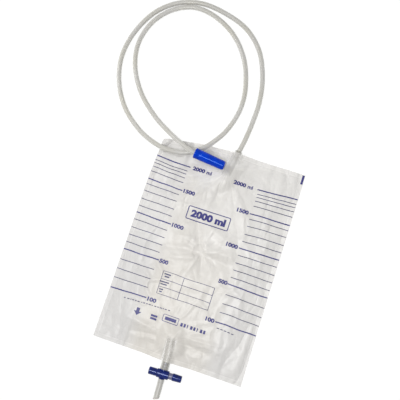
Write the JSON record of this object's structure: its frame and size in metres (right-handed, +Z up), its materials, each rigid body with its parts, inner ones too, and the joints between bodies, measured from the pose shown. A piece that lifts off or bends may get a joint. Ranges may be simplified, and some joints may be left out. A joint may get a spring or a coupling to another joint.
{
  "type": "urine drainage bag",
  "caption": "Flat bag of two welded clear films with a graduated front, a looped inlet tube ending in a capped catheter connector, and a push-pull drain tap.",
  "frame": {"origin": "on the table, under the centre of the box round the bag, its ports and its tap", "axes": "+Y from the drain to the inlet, +Z up out of the printed face, +X to the right of the print"},
  "size_m": [0.2952, 0.5302, 0.0264],
  "materials": {
    "clear_film": "thin clear film, softly creased, with a satin sheen",
    "sleeve_film": "thin clear film",
    "clear_tube": "soft clear tube with a wet-looking gloss",
    "inlet_tube": "soft clear tube, faintly green-grey",
    "navy_plastic": "glossy moulded plastic",
    "natural_plastic": "natural, slightly cloudy moulded plastic",
    "royal_plastic": "glossy moulded plastic",
    "seal_rubber": "satin",
    "print_ink": "blue ink printed on the film"
  },
  "bodies": {
    "bag": {"bag_front_film": "clear_film", "bag_back_film": "clear_film", "nonreturn_film_front": "sleeve_film", "nonreturn_film_back": "sleeve_film", "inlet_port": "clear_tube", "outlet_tube": "clear_tube", "drain_tube": "clear_tube", "inlet_tube": "inlet_tube", "tap_body": "navy_plastic", "catheter_connector": "natural_plastic"},
    "plunger": {"tap_plunger": "natural_plastic", "tap_knob_left": "navy_plastic", "tap_knob_right": "navy_plastic", "seal_ring_1": "seal_rubber", "seal_ring_2": "seal_rubber", "seal_ring_3": "seal_rubber"},
    "cap": {"connector_cap": "royal_plastic"}
  },
  "joints": [
    {"name": "plunger_slide", "type": "slide", "parent": "bag", "child": "plunger", "axis": [-0.999, -0.0454, 0], "range_m": [0, 0.0047]},
    {"name": "cap_pull", "type": "slide", "parent": "bag", "child": "cap", "axis": [0.9925, -0.1219, 0], "range_m": [0, 0.04]}
  ]
}
